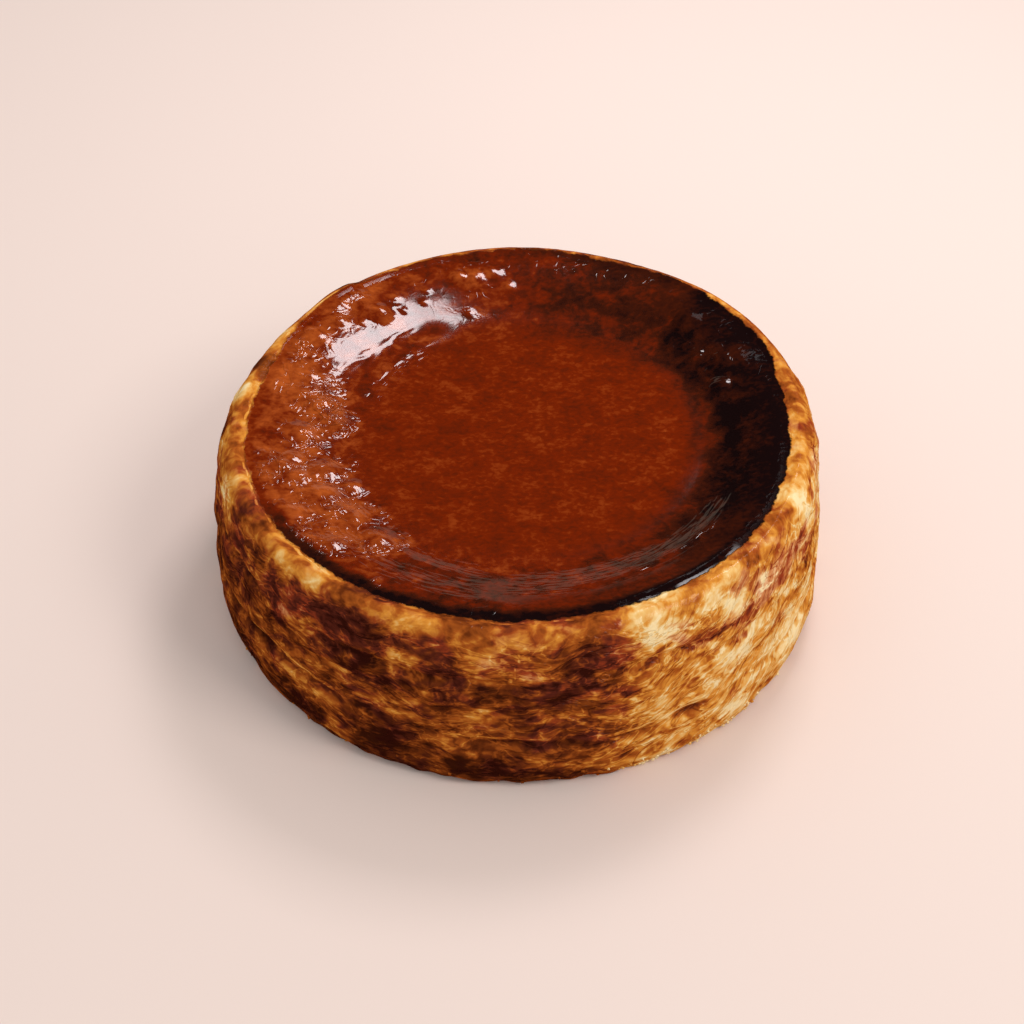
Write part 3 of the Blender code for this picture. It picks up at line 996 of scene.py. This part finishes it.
def baked_custard(colours):
    """Baked custard: its sugar turned to glassy caramel on top, and browned in spots on the side."""
    material, tree, shader = blank("baked custard with caramelised skin")
    mark = custard_marks(tree)

    # The skin ends in a frayed line just inside the crest
    skin = add(tree, "MapRange", SMOOTH, {
        "Value": summed(tree, mark, mark["inside"], FRAYED, NOISE_MEAN),
        "From Min": -0.25, "From Max": 0.35})
    colour = add(tree, "Mix", {"data_type": "RGBA"}, {
        "Factor_Float": skin, "A_Color": side_colour(tree, mark, colours),
        "B_Color": top_colour(tree, mark, colours)})
    tree.links.new(colour, shader.inputs["Base Color"])

    # The skin set like glass, and the side has an oily sheen in spots
    rough = add(tree, "MapRange", links={
        "Value": mark["stain"], "From Min": 0.3, "From Max": 0.7, "To Min": 0.26, "To Max": 0.5})
    oily = add(tree, "MapRange", links={
        "Value": mark["stain"], "From Min": 0.35, "From Max": 0.65, "To Min": 0.4, "To Max": 0.1})
    coated = add(tree, "Mix", {"data_type": "FLOAT"}, {
        "Factor_Float": skin, "A_Float": oily, "B_Float": 1.0})
    coat = add(tree, "Math", {"operation": "MULTIPLY"}, {
        "Value": coated, "Value_001": mark["glassy"]})
    tree.links.new(rough, shader.inputs["Roughness"])
    tree.links.new(coat, shader.inputs["Coat Weight"])
    shader.inputs["Coat Roughness"].default_value = 0.09
    shader.inputs["Coat IOR"].default_value = 1.5
    shader.inputs["IOR"].default_value = 1.45
    shader.inputs["Specular IOR Level"].default_value = 0.0

    relief = add(tree, "Mix", {"data_type": "FLOAT"}, {
        "Factor_Float": skin, "A_Float": summed(tree, mark, 0.0, SIDE_RELIEF),
        "B_Float": summed(tree, mark, 0.0, TOP_RELIEF)})
    bump = add(tree, "Bump", links={"Strength": 1.0, "Distance": MM, "Height": relief})
    tree.links.new(bump, shader.inputs["Normal"])
    tree.links.new(bump, shader.inputs["Coat Normal"])
    return material


def written(mesh, papers, notes):
    """Writes a place on the paper and the oven's notes into a mesh, one of each per point.

    The attribute "paper" is a place on the unrolled paper: round the cake, and up and inwards.
    """
    paper = mesh.attributes.new("paper", "FLOAT_VECTOR", "POINT")
    paper.data.foreach_set("vector", np.array(papers).ravel())
    for name in Baking.notes:
        values = [note[name] for note in notes]
        mesh.attributes.new(name, "FLOAT", "POINT").data.foreach_set("value", values)


def bake(piece, form):
    """Moves every point of the turned piece, and writes what the oven did as attributes."""
    mesh = piece.data
    places = np.empty(len(mesh.vertices) * 3)
    mesh.vertices.foreach_get("co", places)
    baking = Baking(form)
    moved, papers, notes = zip(*(baking.place(Vector(at)) for at in places.reshape(-1, 3)))
    mesh.vertices.foreach_set("co", np.array(moved).ravel())
    written(mesh, papers, notes)
    mesh.update()


def crumbs(form):
    """Crumbs stuck to the foot of the side: one rough crumb, copied, turned and sized."""
    deselect()
    bpy.ops.mesh.primitive_ico_sphere_add(subdivisions=2, radius=CRUMB_RADIUS)
    first = bpy.context.object
    bpy.ops.object.mode_set(mode="EDIT")
    bpy.ops.mesh.select_all(action="SELECT")
    bpy.ops.transform.vertex_random(offset=CRUMB_ROUGH, uniform=0.6, normal=0.4, seed=CRUMB_SEED)
    bpy.ops.object.mode_set(mode="OBJECT")
    draw = random.Random(CRUMB_SEED)
    baking, section = Baking(form), Section(form)
    copies = []
    for start, end, count in CRUMB_FIELDS:
        for _ in range(count):
            azimuth = draw.uniform(start, end)
            height = CRUMB_BAND[0] + (CRUMB_BAND[1] - CRUMB_BAND[0]) * draw.random() ** 2
            outward = outwards(azimuth)
            foot = section.side_radius(height) * outward + Vector((0.0, 0.0, height))
            place, paper, note = baking.place(foot)
            note["side_browned"] -= CRUMB_PALER
            crumb = first.copy()
            crumb.data = first.data.copy()
            bpy.context.collection.objects.link(crumb)
            crumb.location = place
            crumb.rotation_euler = [draw.uniform(0.0, math.tau) for _ in range(3)]
            crumb.scale = [draw.uniform(*CRUMB_SIZE) for _ in range(3)]
            size = len(crumb.data.vertices)
            written(crumb.data, [paper] * size, [note] * size)
            copies.append(crumb)
    bpy.data.objects.remove(first)
    deselect()
    for crumb in copies:
        crumb.select_set(True)
    bpy.context.view_layer.objects.active = copies[0]
    bpy.ops.object.join()
    bpy.ops.object.transform_apply(location=True, rotation=True, scale=True)
    return bpy.context.object


class CHEESECAKE_OT_cake(bpy.types.Operator):
    """Turn, shape and brown the cake, in place of its plain solid"""

    bl_idname = "cheesecake.cake"
    bl_label = "Cake"

    def execute(self, context):
        form, colours = context.scene.cake_form, context.scene.cake_colours
        piece = spun(drawn_section(Section(form).points()))
        piece.name = piece.data.name = "baked_cake"
        bake(piece, form)
        piece.data.materials.append(baked_custard(colours))
        deselect()
        piece.select_set(True)
        context.view_layer.objects.active = piece
        bpy.ops.object.shade_smooth()
        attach(piece, BODY)
        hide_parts(NODE)
        return {"FINISHED"}


class CHEESECAKE_OT_crumbs(bpy.types.Operator):
    """Stick crumbs to the foot of the side"""

    bl_idname = "cheesecake.crumbs"
    bl_label = "Crumbs"

    def execute(self, context):
        piece = crumbs(context.scene.cake_form)
        piece.name = piece.data.name = "foot_crumbs"
        piece.data.materials.append(baked_custard(context.scene.cake_colours))
        bpy.ops.object.shade_smooth()
        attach(piece, BODY)
        return {"FINISHED"}


def seamless_paper(colour):
    """Seamless backdrop paper: dead matt, faintly cloudy."""
    material, tree, shader = blank("seamless paper")
    place = add(tree, "TexCoord", out="Object")
    cloud = add(tree, "TexNoise", links={"Vector": place, "Scale": 2.5, "Detail": 2.0})
    tone = add(tree, "Mix", {"data_type": "RGBA"}, {
        "Factor_Float": cloud,
        "A_Color": rgba([0.96 * c for c in colour]), "B_Color": rgba(colour)})
    tree.links.new(tone, shader.inputs["Base Color"])
    shader.inputs["Roughness"].default_value = 0.9
    shader.inputs["Specular IOR Level"].default_value = 0.0
    return material


def lamp(name, place, aim, size, power, colour, lights=True):
    """A soft rectangular lamp. One that doesn't light leaves nothing but highlights."""
    deselect()
    turn = (aim - place).to_track_quat("-Z", "Y").to_euler()
    bpy.ops.object.light_add(type="AREA", location=place, rotation=turn)
    light = bpy.context.object
    light.name = name
    light.data.shape = "RECTANGLE"
    light.data.size, light.data.size_y = size
    light.data.energy = power
    light.data.color = colour
    light.visible_diffuse = lights
    return light


class CHEESECAKE_OT_stage(bpy.types.Operator):
    """Lay the paper, light it and set up the camera"""

    bl_idname = "cheesecake.stage"
    bl_label = "Stage"

    def execute(self, context):
        stage = context.scene.cake_stage
        deselect()
        bpy.ops.mesh.primitive_plane_add(size=8.0)
        floor = context.object
        floor.name = floor.data.name = "paper"
        floor.data.materials.append(seamless_paper(stage.paper))
        floor.visible_glossy = False  # a dark table would give the cake as little to mirror

        top = Vector((0.0, 0.0, context.scene.cake_form.crest_height))
        window = Vector((0.26, 0.54, 0.80)).normalized()
        lamp("window", top + 0.70 * window, top, (0.22, 0.19), stage.window_power, (1.0, 0.95, 0.97))
        wall = Vector((0.1, 1.6, 0.42))
        lamp("wall", wall, top, (2.4, 0.5), stage.wall_power, (1.0, 0.78, 0.6), lights=False)
        lamp("key", Vector((0.9, -0.5, 1.1)), top, (0.55, 0.55), stage.key_power, (1.0, 0.97, 0.93))

        world = bpy.data.worlds.new("room")
        context.scene.world = world
        world.use_nodes = True
        backdrop = world.node_tree.nodes["Background"]
        backdrop.inputs["Color"].default_value = (1.0, 0.98, 0.97, 1.0)
        backdrop.inputs["Strength"].default_value = stage.room_light
        world.cycles_visibility.glossy = False

        bpy.ops.object.camera_add(location=CAMERA_PLACE, rotation=CAMERA_TURN)
        camera = context.object
        camera.data.lens = CAMERA_LENS
        camera.data.clip_start = 0.01
        context.scene.camera = camera
        context.scene.view_settings.view_transform = "Standard"
        return {"FINISHED"}


class CHEESECAKE_PT_panel(bpy.types.Panel):
    """Sizes, colours and the steps that build the cake"""

    bl_label = "Basque Burnt Cheesecake"
    bl_space_type = "VIEW_3D"
    bl_region_type = "UI"
    bl_category = "Cheesecake"

    def draw(self, context):
        layout = self.layout
        for group in (context.scene.cake_form, context.scene.cake_colours, context.scene.cake_stage):
            column = layout.column(align=True)
            for name in group.__annotations__:
                column.prop(group, name)
        for step in STEPS:
            layout.operator(step.bl_idname)


GROUPS = {"cake_form": CakeForm, "cake_colours": CakeColours, "cake_stage": CakeStage}
STEPS = (CHEESECAKE_OT_cake, CHEESECAKE_OT_crumbs, CHEESECAKE_OT_stage)


def register():
    for kind in (*GROUPS.values(), *STEPS, CHEESECAKE_PT_panel):
        bpy.utils.register_class(kind)
    for name, kind in GROUPS.items():
        setattr(bpy.types.Scene, name, bpy.props.PointerProperty(type=kind))


def unregister():
    for name in GROUPS:
        delattr(bpy.types.Scene, name)
    for kind in (CHEESECAKE_PT_panel, *reversed(STEPS), *reversed(GROUPS.values())):
        bpy.utils.unregister_class(kind)


def main():
    register()
    bpy.ops.cheesecake.cake()
    bpy.ops.cheesecake.crumbs()
    bpy.ops.cheesecake.stage()


if __name__ == "__main__":
    main()
